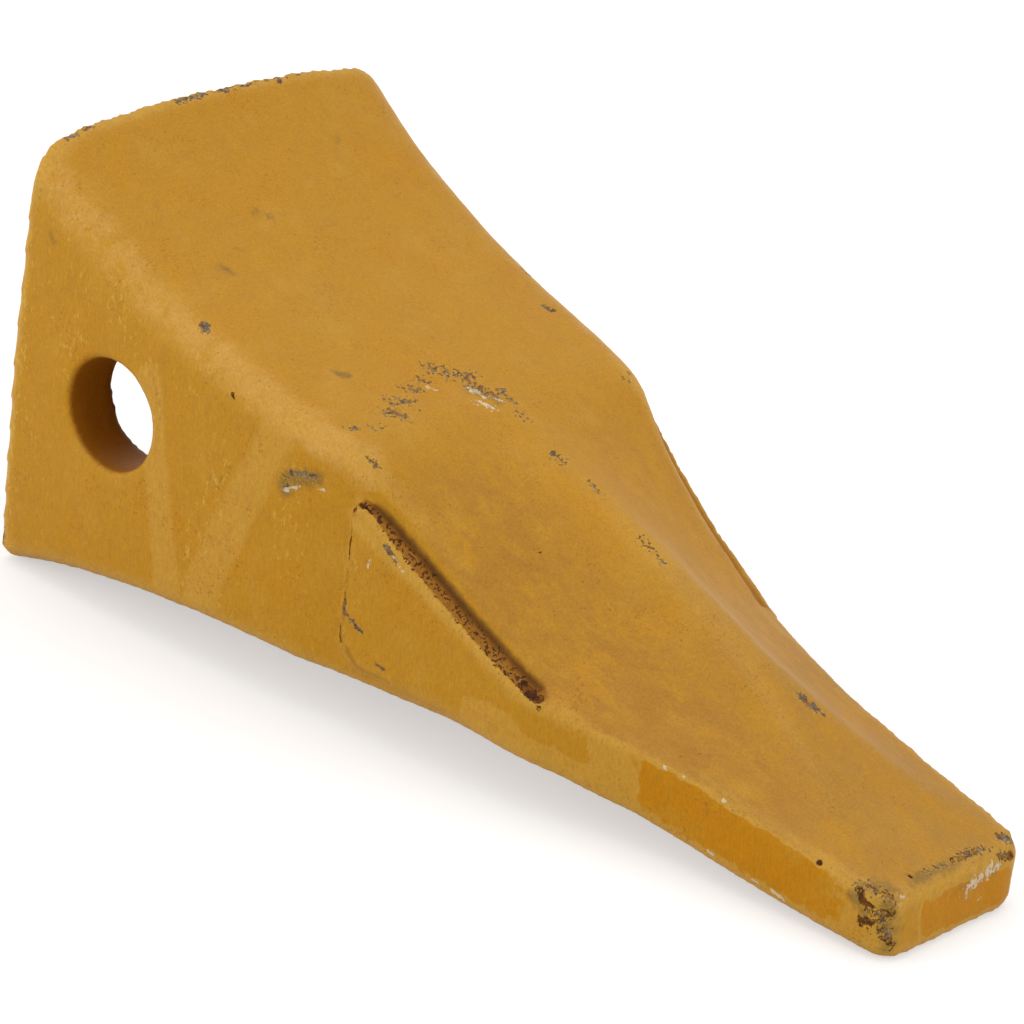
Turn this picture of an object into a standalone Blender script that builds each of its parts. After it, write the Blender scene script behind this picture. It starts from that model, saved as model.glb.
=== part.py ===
"""Bucket tooth: a one-piece steel casting that a side pin holds on the nose of a bucket adapter.

The tooth is drawn in the frame of its mouth: X runs from the mouth to the tip, Z is up, and the
near and far sides mirror each other about Y = 0. At the end it is tipped forward until it lies on
the lower edge of its mouth and the lower edge of its tip, as it does on a floor.

Its skin is one loft. Each cross-section is a row of corners with rounded ends: the crest on the
middle line, the edge of the crest, the knee where the top turns into the side, the inner corner
and the outer edge of the ledge on the pad, the foot of the pad, the sole corner and the sole.
"""

import math

import bmesh
import bpy
from mathutils import Matrix, Vector

MM = 0.001

# Overall sizes
TOOTH_LENGTH = 173.0 * MM
MOUTH_WIDTH = 76.4 * MM
MOUTH_HEIGHT = 78.1 * MM
TIP_WIDTH = 32.0 * MM
TIP_THICKNESS = 10.6 * MM
TIP_LIFT = 7.0 * MM  # height of the tip's underside above the lower edge of the mouth

# Box around the socket
BOX_LENGTH = 64.0 * MM  # the flat top of the box ends here and the spine begins
BOX_END_WIDTH = 67.2 * MM
BOX_END_HEIGHT = 52.4 * MM
MOUTH_CROWN = 2.6 * MM  # rise of the top's middle over its long edges
BOX_END_CROWN = 1.2 * MM
MOUTH_TOP_SLOPE = -0.76  # the top opens out at the mouth
BOX_END_TOP_SLOPE = -0.22
BOX_TOP_CORNER = 7.2 * MM
BOX_END_TOP_CORNER = 5.2 * MM
BOX_LOW_CORNER = 3.2 * MM
RIM_EDGE = 1.2 * MM
MOUTH_SIDE_SLOPE = -0.029  # the sides close in by this, faster towards the end of the box
BOX_END_SIDE_SLOPE = -0.137
SIDE_LEAN_SLOPE = 0.048  # slope of the sides towards the underside
LEAN_HEIGHT = 31.0 * MM  # the sides stand upright above this

# Spine along the top of the blade
SPINE_MIDDLE = 110.0 * MM
SPINE_MIDDLE_HEIGHT = 40.0 * MM
SPINE_MIDDLE_SLOPE = -0.347
SPINE_END = 143.0 * MM  # the narrow top of the spine spreads into the chisel from here
SPINE_END_HEIGHT = 27.7 * MM
SPINE_END_SLOPE = -0.44
TIP_TOP_SLOPE = -0.152
SPINE_WIDTH = 3.4 * MM
SPINE_END_WIDTH = 9.6 * MM
SPINE_DOME = 0.2 * MM
SPINE_EDGE = 1.1 * MM
MOUTH_FLAT_WIDTH = 18.4 * MM  # at the mouth the spine has widened into a flat strip
CHISEL_FLAT_WIDTH = 25.0 * MM
FLANK_DISH = 1.5 * MM
SHOULDER_DISH = 1.0 * MM
KNEE_SHARE = 0.86  # the knee is this far across the flank of the blade
RIM_SHARE = 0.94

# Blade below the spine
SHOULDER = 110.5 * MM  # the pads end here and the sides curve in to the blade
SHOULDER_WIDTH = 54.6 * MM
SHOULDER_HEIGHT = 24.3 * MM
SHOULDER_SIDE_SLOPE = -0.32
SHOULDER_EDGE_SLOPE = -0.132
NECK = 138.0 * MM
NECK_WIDTH = 39.8 * MM
NECK_HEIGHT = 21.7 * MM
BLADE_TOP_EDGE = 1.6 * MM
BLADE_LOW_CORNER = 2.4 * MM
TIP_EDGE = 1.3 * MM
TIP_CORNER = 3.2 * MM  # rounding of the tip's corners in plan
TIP_RAKE = 1.0 * MM  # the tip's lower edge stands out this far beyond its top edge
RAKE_START = 160.0 * MM
FOOT_SHARE = 0.45  # on the blade the line of the pads' feet runs this far up the side

# Underside
ARCH_PLACE = 106.0 * MM
ARCH_HEIGHT = 12.3 * MM
MOUTH_SOLE_SLOPE = 0.37
BOX_END_LIFT = 10.8 * MM
BOX_END_SOLE_SLOPE = 0.03
NECK_LIFT = 9.1 * MM
NECK_SOLE_SLOPE = -0.1
TUCK = 1.1 * MM  # before the shoulder the sole is narrower by this on each side
TUCK_PLACE = 104.0 * MM
TUCK_END = 121.0 * MM

# Pads on the sides, each with a ledge along its top
PAD_REAR = 74.0 * MM
PAD_REAR_WIDTH = 64.9 * MM
PAD_PROUD = 1.0 * MM
PAD_MERGE = 94.0 * MM  # the pad stands proud up to here and runs out at the shoulder
PAD_CORNER = 3.5 * MM
PAD_EDGE = 0.6 * MM
PAD_FOOT = 15.3 * MM
LEDGE_REAR_HEIGHT = 44.4 * MM
LEDGE_REAR_SLOPE = -0.738
LEDGE_END_SLOPE = -0.418
LEDGE_DEPTH = 3.0 * MM
LEDGE_GROWTH = 12.0 * MM  # the ledge reaches its depth over this length
LEDGE_END = 0.6 * MM
EAVE_REAR_RISE = 4.2 * MM  # height of the wall over the ledge
EAVE_LEAN = 0.5 * MM
EAVE_START_SLOPE = -0.275
EAVE_END_SLOPE = -0.385

# Socket for the adapter nose
SOCKET_DEPTH = 82.0 * MM
LEAD_IN = 14.0 * MM
SOCKET_MOUTH_WIDTH = 59.0 * MM
SOCKET_MOUTH_FLOOR = 8.0 * MM
SOCKET_MOUTH_ROOF = 66.0 * MM
SOCKET_THROAT_WIDTH = 55.4 * MM
SOCKET_THROAT_FLOOR = 12.5 * MM
SOCKET_THROAT_ROOF = 57.0 * MM
SOCKET_NOSE_WIDTH = 41.0 * MM
SOCKET_NOSE_FLOOR = 20.5 * MM
SOCKET_NOSE_ROOF = 37.5 * MM
SOCKET_CORNER = 7.0 * MM
NOSE_CORNER = 4.0 * MM

# Pin bores through both sides
PIN_BORE = 18.5 * MM
PIN_PLACE = 23.3 * MM
PIN_HEIGHT = 36.4 * MM
PIN_LIP = 0.7 * MM

# How finely the surfaces are divided
ROUND_SIDES = 48
EDGE_STEPS = 3
CORNER_STEPS = 5
TOP_STEPS = 7
SIDE_STEPS = 5
BOX_ROWS = 15
PAD_ROWS = 10
BLADE_ROWS = 8
CLOSE_ROWS = 4
ROUND_HANDLE_SHARE = 0.5523  # a cubic curve with handles this long follows a quarter circle
SHARED_EDGE_SHARE = 0.45  # a corner takes at most this much of an edge with a rounded corner at its far end
LONE_EDGE_SHARE = 0.9
PAST = 2.0 * MM  # how far a cutter reaches past what it cuts
MERGE = 0.01 * MM
SHARP_ANGLE = math.radians(32)

PAINT = (0.51, 0.28, 0.035, 1.0)
PAINT_ROUGHNESS = 0.42


def guide(*knots):
    """A smooth line through (x, value, slope) knots, as a function of x."""

    def value(x):
        for start, end in zip(knots, knots[1:]):
            if x <= end[0]:
                break
        span = end[0] - start[0]
        t = min(max((x - start[0]) / span, 0.0), 1.0)
        rise = t * t * (3 - 2 * t)
        early = t * (1 - t) ** 2
        late = -t * t * (1 - t)
        return lerp(start[1], end[1], rise) + span * (start[2] * early + end[2] * late)

    return value


def lerp(start, end, share):
    """The value at a share of the way from start to end."""
    return start + (end - start) * share


def smooth(start, end, x):
    """Goes softly from 0 at start to 1 at end."""
    t = min(max((x - start) / (end - start), 0.0), 1.0)
    return t * t * (3 - 2 * t)


TIP_TOP = TIP_LIFT + TIP_THICKNESS
PAD_TAPER = (SHOULDER_WIDTH - PAD_REAR_WIDTH) / 2 / (SHOULDER - PAD_REAR)
BLADE_TAPER = (TIP_WIDTH - NECK_WIDTH) / 2 / (TOOTH_LENGTH - NECK)
EDGE_FALL = (TIP_TOP - NECK_HEIGHT) / (TOOTH_LENGTH - NECK)
CHISEL_SPREAD = (CHISEL_FLAT_WIDTH - SPINE_END_WIDTH) / 2 / (TOOTH_LENGTH - SPINE_END)

crest_height = guide(
    (0, MOUTH_HEIGHT, MOUTH_TOP_SLOPE),
    (BOX_LENGTH, BOX_END_HEIGHT, BOX_END_TOP_SLOPE),
    (SPINE_MIDDLE, SPINE_MIDDLE_HEIGHT, SPINE_MIDDLE_SLOPE),
    (SPINE_END, SPINE_END_HEIGHT, SPINE_END_SLOPE),
    (TOOTH_LENGTH, TIP_TOP, TIP_TOP_SLOPE),
)
crest_width = guide(
    (0, MOUTH_FLAT_WIDTH / 2, 0),
    (BOX_LENGTH, SPINE_WIDTH / 2, 0),
    (SPINE_MIDDLE, SPINE_WIDTH / 2, 0),
    (SPINE_END, SPINE_END_WIDTH / 2, CHISEL_SPREAD),
    (TOOTH_LENGTH, CHISEL_FLAT_WIDTH / 2, CHISEL_SPREAD),
)
side_width = guide(
    (0, MOUTH_WIDTH / 2, MOUTH_SIDE_SLOPE),
    (BOX_LENGTH, BOX_END_WIDTH / 2, BOX_END_SIDE_SLOPE),
    (PAD_REAR, PAD_REAR_WIDTH / 2 - PAD_PROUD, PAD_TAPER),
    (SHOULDER, SHOULDER_WIDTH / 2, SHOULDER_SIDE_SLOPE),
    (NECK, NECK_WIDTH / 2, BLADE_TAPER),
    (TOOTH_LENGTH, TIP_WIDTH / 2, BLADE_TAPER),
)
pad_face = guide(
    (PAD_REAR, PAD_REAR_WIDTH / 2, PAD_TAPER),
    (PAD_MERGE, PAD_REAR_WIDTH / 2 + PAD_TAPER * (PAD_MERGE - PAD_REAR), PAD_TAPER),
    (SHOULDER, SHOULDER_WIDTH / 2, SHOULDER_SIDE_SLOPE),
)
ledge_height = guide(
    (PAD_REAR, LEDGE_REAR_HEIGHT, LEDGE_REAR_SLOPE),
    (SHOULDER, SHOULDER_HEIGHT, LEDGE_END_SLOPE),
)
edge_height = guide(
    (SHOULDER, SHOULDER_HEIGHT, SHOULDER_EDGE_SLOPE),
    (NECK, NECK_HEIGHT, EDGE_FALL),
    (TOOTH_LENGTH, TIP_TOP, EDGE_FALL),
)
sole_height = guide(
    (0, 0, MOUTH_SOLE_SLOPE),
    (BOX_LENGTH, BOX_END_LIFT, BOX_END_SOLE_SLOPE),
    (ARCH_PLACE, ARCH_HEIGHT, 0),
    (NECK, NECK_LIFT, NECK_SOLE_SLOPE),
    (TOOTH_LENGTH, TIP_LIFT, 0),
)
top_bow = guide(
    (0, MOUTH_CROWN / 4, 0),
    (BOX_LENGTH, BOX_END_CROWN / 4, 0),
    (SHOULDER, -SHOULDER_DISH, 0),
    (NECK, -FLANK_DISH, 0),
    (TOOTH_LENGTH, 0, 0),
)
knee_reach = guide(
    (0, BOX_TOP_CORNER, 0),
    (BOX_LENGTH, BOX_END_TOP_CORNER, 0),
    (SHOULDER, BLADE_TOP_EDGE, 0),
    (TOOTH_LENGTH, BLADE_TOP_EDGE, 0),
)
sole_tuck = guide(
    (PAD_REAR, 0, 0),
    (TUCK_PLACE, TUCK, 0),
    (TUCK_END, 0, 0),
)
sole_reach = guide(
    (0, BOX_LOW_CORNER, 0),
    (PAD_REAR, BLADE_LOW_CORNER, 0),
    (TOOTH_LENGTH, BLADE_LOW_CORNER, 0),
)


def crown(x):
    """How far the middle of the box's top stands over its long edges."""
    return lerp(MOUTH_CROWN, BOX_END_CROWN, x / BOX_LENGTH)


def corner_drop(x):
    """How far the rounded rear corners of the pad cut into its height."""
    along = min(max(PAD_CORNER - (x - PAD_REAR), 0.0), PAD_CORNER)
    return PAD_CORNER - math.sqrt(PAD_CORNER**2 - along**2)


def lean(x, z):
    """How far a side has leaned in at height z."""
    upright = min(LEAN_HEIGHT, edge_height(x))
    return SIDE_LEAN_SLOPE * max(upright - z, 0.0)


def ledge_depth(x):
    """How far the wall over the ledge stands back from the face of the pad."""
    left = 1 - min((x - PAD_REAR) / LEDGE_GROWTH, 1.0)
    return lerp(LEDGE_DEPTH, PAD_PROUD, left**2)


def box_corners(x):
    """Knee, ledge corner, ledge edge, foot and wall under the foot where the side is plain."""
    side = side_width(x)
    top = crest_height(x) - crown(x) if x <= BOX_LENGTH else eave_height(x)
    pad_top, pad_foot = LEDGE_REAR_HEIGHT - PAD_CORNER, PAD_FOOT + PAD_CORNER
    heights = (top, pad_top + PAD_EDGE, pad_top, pad_foot, pad_foot - PAD_PROUD)
    return [Vector((side - lean(x, z), z)) for z in heights]


def pad_corners(x):
    """The same five corners where the pad stands on the side and the ledge is cut over it."""
    face, wall = pad_face(x), pad_face(x) - ledge_depth(x)
    merged = smooth(PAD_MERGE, SHOULDER, x)
    knee = Vector((wall - EAVE_LEAN * min((x - PAD_REAR) / LEDGE_GROWTH, 1.0), eave_height(x)))
    ledge = ledge_height(x) - corner_drop(x)
    foot = PAD_FOOT + corner_drop(x)
    under = foot - PAD_PROUD
    return [
        knee,
        Vector((wall, ledge)),
        Vector((face, ledge)),
        Vector((face - lean(x, foot), foot)),
        Vector((face - PAD_PROUD * (1 - merged) - lean(x, under), under)),
    ]


def blade_corners(x):
    """The same five corners on the blade, where the flank runs out to the top edge of the side."""
    crest = Vector((crest_width(x), crest_height(x) - SPINE_DOME))
    edge = Vector((side_width(x), edge_height(x)))
    sag = Vector((0, 4 * top_bow(x)))
    knee = crest.lerp(edge, KNEE_SHARE) + sag * KNEE_SHARE * (1 - KNEE_SHARE)
    rim = crest.lerp(edge, RIM_SHARE) + sag * RIM_SHARE * (1 - RIM_SHARE)
    foot = min(PAD_FOOT, lerp(sole_height(x), edge.y, FOOT_SHARE))
    under = foot - PAD_PROUD
    return [knee, rim, edge] + [Vector((edge.x - lean(x, z), z)) for z in (foot, under)]


eave_height = guide(
    (BOX_LENGTH, BOX_END_HEIGHT - BOX_END_CROWN, EAVE_START_SLOPE),
    (PAD_REAR, LEDGE_REAR_HEIGHT + EAVE_REAR_RISE, LEDGE_REAR_SLOPE),
    (SHOULDER, blade_corners(SHOULDER)[0].y, EAVE_END_SLOPE),
)


def side_corners(x):
    """Knee, ledge corner, ledge edge, foot and the wall under it, at any x."""
    if x < PAD_REAR:
        return box_corners(x)
    if x < SHOULDER:
        return pad_corners(x)
    return blade_corners(x)


def rounded_corner(before, corner, after, reach, steps):
    """Points round a corner, starting and ending at reach from it."""
    if not steps:
        return [corner]
    start = corner + (before - corner).normalized() * reach
    end = corner + (after - corner).normalized() * reach
    first, second = start.lerp(corner, ROUND_HANDLE_SHARE), end.lerp(corner, ROUND_HANDLE_SHARE)
    points = []
    for step in range(steps + 1):
        t = step / steps
        a, b, c = start.lerp(first, t), first.lerp(second, t), second.lerp(end, t)
        points.append(a.lerp(b, t).lerp(b.lerp(c, t), t))
    return points


def bowed_edge(start, end, bow, steps):
    """Points between two corners, on a shallow arc that stands out by bow."""
    along = (end - start).normalized()
    outwards = Vector((-along.y, along.x))
    shares = [step / steps for step in range(1, steps)]
    return [start.lerp(end, t) + outwards * (4 * bow * t * (1 - t)) for t in shares]


def rounded_outline(corners):
    """Points along corners given as (point, reach, steps round it, bow of the next edge, its steps)."""
    last = len(corners) - 1
    rounded = []
    for i, (point, reach, steps, _, _) in enumerate(corners):
        for j in (max(i - 1, 0), min(i + 1, last)):
            share = SHARED_EDGE_SHARE if corners[j][2] else LONE_EDGE_SHARE
            reach = min(reach, (corners[j][0] - point).length * share)
        before, after = corners[max(i - 1, 0)][0], corners[min(i + 1, last)][0]
        rounded.append(rounded_corner(before, point, after, reach, steps))
    outline = []
    for i, (_, _, _, bow, steps) in enumerate(corners[:-1]):
        outline += rounded[i] + bowed_edge(rounded[i][-1], rounded[i + 1][0], bow, steps)
    return outline + rounded[-1]


def drawn_in(x, mouth_radius, tip_radius):
    """How far the roundings of the mouth and of the tip draw the outline in at x."""
    for radius, past in ((mouth_radius, mouth_radius - x), (tip_radius, x - TOOTH_LENGTH + tip_radius)):
        if past > 0:
            return radius - math.sqrt(max(radius**2 - past**2, 0.0))
    return 0.0


def section(x):
    """Half the cross-section at x, from the crest to the sole; the last ones lean forward."""
    top, sole = crest_height(x), sole_height(x)
    crest = Vector((crest_width(x), top - SPINE_DOME))
    knee, rim, edge, foot, under = side_corners(x)
    low = Vector((side_width(x) if x < PAD_REAR else under.x + lean(x, under.y), sole))
    low.x -= lean(x, sole) + sole_tuck(x)
    bow = top_bow(x) * (1 - crest.x / knee.x) ** 2
    edge_reach = BLADE_TOP_EDGE if x >= SHOULDER else PAD_EDGE
    outline = rounded_outline([
        (Vector((0, top)), 0, 0, 0, 2),
        (crest, SPINE_EDGE, 2, bow, TOP_STEPS),
        (knee, knee_reach(x), CORNER_STEPS, 0, 2),
        (rim, PAD_EDGE, 1, 0, 1),
        (edge, edge_reach, 2, 0, SIDE_STEPS),
        (foot, PAD_EDGE, 1, 0, 1),
        (under, 0, 0, 0, 1),
        (low, sole_reach(x), CORNER_STEPS, 0, SIDE_STEPS),
        (Vector((0, sole)), 0, 0, 0, 1),
    ])
    middle, half_height = (top + sole) / 2, (top - sole) / 2
    narrow = 1 - drawn_in(x, RIM_EDGE, TIP_CORNER) / side_width(x)
    flat = 1 - drawn_in(x, RIM_EDGE, TIP_EDGE) / half_height
    rake = TIP_RAKE * smooth(RAKE_START, TOOTH_LENGTH, x) / (top - sole)
    return [Vector((x + rake * (top - p.y), p.x * narrow, lerp(middle, p.y, flat))) for p in outline]


def spread(start, end, count):
    """count places from start up to just before end."""
    return [lerp(start, end, i / count) for i in range(count)]


def rows():
    """Places of the cross-sections, closer together where the form turns."""
    turns = [math.pi / 2 * step / EDGE_STEPS for step in range(EDGE_STEPS + 1)]
    pad_turns = [math.pi / 2 * step / CLOSE_ROWS for step in range(CLOSE_ROWS)]
    places = [RIM_EDGE * (1 - math.cos(turn)) for turn in turns]
    places += spread(RIM_EDGE, BOX_LENGTH, BOX_ROWS)[1:]
    places += spread(BOX_LENGTH, PAD_REAR - PAD_EDGE, CLOSE_ROWS)
    places += [PAD_REAR - PAD_EDGE]
    places += [PAD_REAR + PAD_CORNER * (1 - math.cos(turn)) for turn in pad_turns]
    places += spread(PAD_REAR + PAD_CORNER, SHOULDER - LEDGE_END, PAD_ROWS)
    places += [SHOULDER - LEDGE_END]
    places += spread(SHOULDER, NECK, BLADE_ROWS)
    places += spread(NECK, TOOTH_LENGTH - TIP_CORNER, BLADE_ROWS)
    places += spread(TOOTH_LENGTH - TIP_CORNER, TOOTH_LENGTH - TIP_EDGE, CLOSE_ROWS)
    places += [TOOTH_LENGTH - TIP_EDGE * (1 - math.sin(turn)) for turn in turns]
    return places


def loft(name, sections, closed):
    """A skin over sections of equal count; open sections leave the plane Y = 0 open."""
    shape = bmesh.new()
    rings = [[shape.verts.new(point) for point in ring] for ring in sections]
    count = len(rings[0])
    strips = [(i, (i + 1) % count) for i in range(count if closed else count - 1)]
    for ring, further in zip(rings, rings[1:]):
        for i, j in strips:
            shape.faces.new((ring[i], further[i], further[j], ring[j]))
    bmesh.ops.triangulate(shape, faces=shape.faces)
    for ring, order in ((rings[0], 1), (rings[-1], -1)):
        opposite = count // 2 if closed else count - 1
        middle = shape.verts.new((ring[0].co + ring[opposite].co) / 2)
        for i, j in strips:
            shape.faces.new((middle, ring[i], ring[j])[::order])
    mesh = bpy.data.meshes.new(name)
    shape.to_mesh(mesh)
    shape.free()
    return bpy.data.objects.new(name, mesh)


def rounded_rectangle(x, width, floor, roof, corner):
    """A closed ring at x, run round the same way as the cross-sections."""
    side = width / 2
    corners = [(side, roof), (side, floor), (-side, floor), (-side, roof)]
    corners = [Vector(point) for point in corners]
    ring = []
    for i, point in enumerate(corners):
        ring += rounded_corner(corners[i - 1], point, corners[(i + 1) % 4], corner, CORNER_STEPS)
    return [Vector((x, p.x, p.y)) for p in ring]


def socket_cutter():
    """The tapered socket, with a wider lead-in at the mouth."""
    run = PAST / LEAD_IN
    outer = [
        lerp(mouth, throat, -run)
        for mouth, throat in (
            (SOCKET_MOUTH_WIDTH, SOCKET_THROAT_WIDTH),
            (SOCKET_MOUTH_FLOOR, SOCKET_THROAT_FLOOR),
            (SOCKET_MOUTH_ROOF, SOCKET_THROAT_ROOF),
        )
    ]
    throat = (SOCKET_THROAT_WIDTH, SOCKET_THROAT_FLOOR, SOCKET_THROAT_ROOF)
    nose = (SOCKET_NOSE_WIDTH, SOCKET_NOSE_FLOOR, SOCKET_NOSE_ROOF)
    rings = [
        rounded_rectangle(-PAST, *outer, SOCKET_CORNER),
        rounded_rectangle(LEAD_IN, *throat, SOCKET_CORNER),
        rounded_rectangle(SOCKET_DEPTH, *nose, NOSE_CORNER),
    ]
    return loft("socket_cutter", rings, closed=True)


def turned(name, profile):
    """A profile of (radius, height) turned about Z by a Screw modifier."""
    mesh = bpy.data.meshes.new(name)
    points = [(radius, 0, height) for radius, height in profile]
    mesh.from_pydata(points, [(i, i + 1) for i in range(len(points) - 1)], [])
    piece = bpy.data.objects.new(name, mesh)
    screw = piece.modifiers.new("turn", "SCREW")
    screw.steps = screw.render_steps = ROUND_SIDES
    screw.use_merge_vertices = True
    screw.merge_threshold = MERGE
    return piece


def bore_cutter():
    """A round bar right through both sides."""
    radius, reach = PIN_BORE / 2, MOUTH_WIDTH / 2 + PAST
    bar = turned("bore_cutter", [(0, reach), (radius, reach), (radius, -reach), (0, -reach)])
    bar.matrix_local = Matrix.Translation((PIN_PLACE, 0, PIN_HEIGHT)) @ Matrix.Rotation(math.pi / 2, 4, "X")
    return bar


def lip_cutter(side):
    """A countersink square to the outside of one wall, which breaks the edge of the bore."""
    radius = PIN_BORE / 2
    cone = turned(
        "near_lip_cutter" if side < 0 else "far_lip_cutter",
        [(0, PAST), (radius + PIN_LIP + PAST, PAST), (radius - PIN_LIP, -2 * PIN_LIP), (0, -2 * PIN_LIP)],
    )
    taper = math.atan2(side_width(PIN_PLACE + radius) - side_width(PIN_PLACE - radius), PIN_BORE)
    place = Vector((PIN_PLACE, side * side_width(PIN_PLACE), PIN_HEIGHT))
    outwards = Vector((-math.sin(taper), side * math.cos(taper), 0))
    cone.matrix_local = Matrix.Translation(place) @ outwards.to_track_quat("Z", "Y").to_matrix().to_4x4()
    return cone


def paint():
    """The plain ochre of the paint."""
    material = bpy.data.materials.new("ochre_paint")
    material.use_nodes = True
    shader = material.node_tree.nodes["Principled BSDF"]
    shader.inputs["Base Color"].default_value = PAINT
    shader.inputs["Roughness"].default_value = PAINT_ROUGHNESS
    shader.inputs["Metallic"].default_value = 0.0
    return material


def clear_scene():
    """Takes every object out of the scene."""
    for item in list(bpy.data.objects):
        bpy.data.objects.remove(item)


def new_collection(name):
    """A named collection in the scene."""
    group = bpy.data.collections.new(name)
    bpy.context.scene.collection.children.link(group)
    return group


def cut(body, cutters, group):
    """Cuts the cutters out of the body and keeps them hidden in their group."""
    for cutter in cutters:
        group.objects.link(cutter)
        cutter.hide_render = True
        cutter.display_type = "WIRE"
        step = body.modifiers.new(cutter.name, "BOOLEAN")
        step.operation = "DIFFERENCE"
        step.solver = "EXACT"
        step.object = cutter


def made_solid(body, name):
    """The evaluated mesh of a body as a new object, shaded smooth up to the sharp edges."""
    bpy.context.view_layer.update()
    evaluated = body.evaluated_get(bpy.context.evaluated_depsgraph_get())
    mesh = bpy.data.meshes.new_from_object(evaluated)
    mesh.name = name
    mesh.shade_smooth()
    mesh.set_sharp_from_angle(angle=SHARP_ANGLE)
    return bpy.data.objects.new(name, mesh)


def laid_down(points):
    """The move that tips the tooth on to its mouth and tip, and centres its box on the origin."""
    rear, front = RIM_EDGE, TOOTH_LENGTH - TIP_EDGE
    pitch = math.atan2(sole_height(front) - sole_height(rear), front - rear)
    tip_down = Matrix.Rotation(pitch, 4, "Y")
    tipped = [tip_down @ point for point in points]
    lowest = min(point.z for point in tipped)
    middle = (min(point.x for point in tipped) + max(point.x for point in tipped)) / 2
    return Matrix.Translation((-middle, 0, -lowest)) @ tip_down


def main():
    clear_scene()
    parts, cutters = new_collection("bucket_tooth"), new_collection("cutters")
    casting = loft("casting", [section(x) for x in rows()], closed=False)
    cutters.objects.link(casting)
    mirror = casting.modifiers.new("both_sides", "MIRROR")
    mirror.use_axis = (False, True, False)
    mirror.merge_threshold = MERGE
    cut(casting, [socket_cutter(), bore_cutter(), lip_cutter(-1), lip_cutter(1)], cutters)

    tooth = made_solid(casting, "tooth")
    move = laid_down([vertex.co for vertex in tooth.data.vertices])
    tooth.data.transform(move)
    tooth.data.materials.append(paint())
    parts.objects.link(tooth)
    bpy.data.objects.remove(casting)
    for cutter in cutters.objects:
        cutter.matrix_world = move @ cutter.matrix_world


if __name__ == "__main__":
    main()
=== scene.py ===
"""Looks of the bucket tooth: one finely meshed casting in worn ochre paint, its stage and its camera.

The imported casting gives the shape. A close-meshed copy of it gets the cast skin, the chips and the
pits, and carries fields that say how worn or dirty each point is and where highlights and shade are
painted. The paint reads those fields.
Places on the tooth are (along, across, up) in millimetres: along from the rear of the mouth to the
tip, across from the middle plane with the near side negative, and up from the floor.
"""

import math

import bmesh
import bpy
import numpy as np
from bpy.props import FloatProperty, FloatVectorProperty, IntProperty, PointerProperty
from mathutils import Euler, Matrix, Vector, noise
from mathutils.bvhtree import BVHTree


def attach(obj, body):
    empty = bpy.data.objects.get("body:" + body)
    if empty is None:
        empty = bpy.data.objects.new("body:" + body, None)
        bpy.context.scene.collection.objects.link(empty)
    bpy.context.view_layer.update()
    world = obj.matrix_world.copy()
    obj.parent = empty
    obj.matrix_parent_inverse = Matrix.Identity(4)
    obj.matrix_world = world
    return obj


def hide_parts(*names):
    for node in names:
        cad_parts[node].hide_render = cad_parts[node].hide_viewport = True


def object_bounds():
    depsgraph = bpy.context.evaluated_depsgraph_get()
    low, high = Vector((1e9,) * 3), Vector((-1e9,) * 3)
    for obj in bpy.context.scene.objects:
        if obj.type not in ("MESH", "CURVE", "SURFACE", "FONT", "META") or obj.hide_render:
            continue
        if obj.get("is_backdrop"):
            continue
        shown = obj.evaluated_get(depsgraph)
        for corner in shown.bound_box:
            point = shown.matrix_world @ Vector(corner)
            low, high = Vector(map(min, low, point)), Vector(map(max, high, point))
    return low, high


bl_info = {
    "name": "Bucket Tooth",
    "version": (1, 0, 0),
    "blender": (4, 5, 0),
    "location": "View3D > Sidebar > Bucket Tooth",
    "description": "Dresses the packed casting of a bucket tooth in worn ochre paint and sets its stage",
    "category": "Object",
}

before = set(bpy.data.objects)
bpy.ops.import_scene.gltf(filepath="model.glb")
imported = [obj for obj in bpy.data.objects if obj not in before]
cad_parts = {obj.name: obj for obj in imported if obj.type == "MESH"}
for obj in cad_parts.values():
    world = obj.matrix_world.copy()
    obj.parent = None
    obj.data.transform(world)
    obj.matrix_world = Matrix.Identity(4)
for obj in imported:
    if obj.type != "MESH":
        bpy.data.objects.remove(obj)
CAD_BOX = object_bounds()
MM = 0.001
# The even mesh is made while the casting is turned, so that no long edge runs along its grid
GRID_TURN = Euler((0.6, 0.5, 0.7)).to_matrix().to_4x4()

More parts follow.
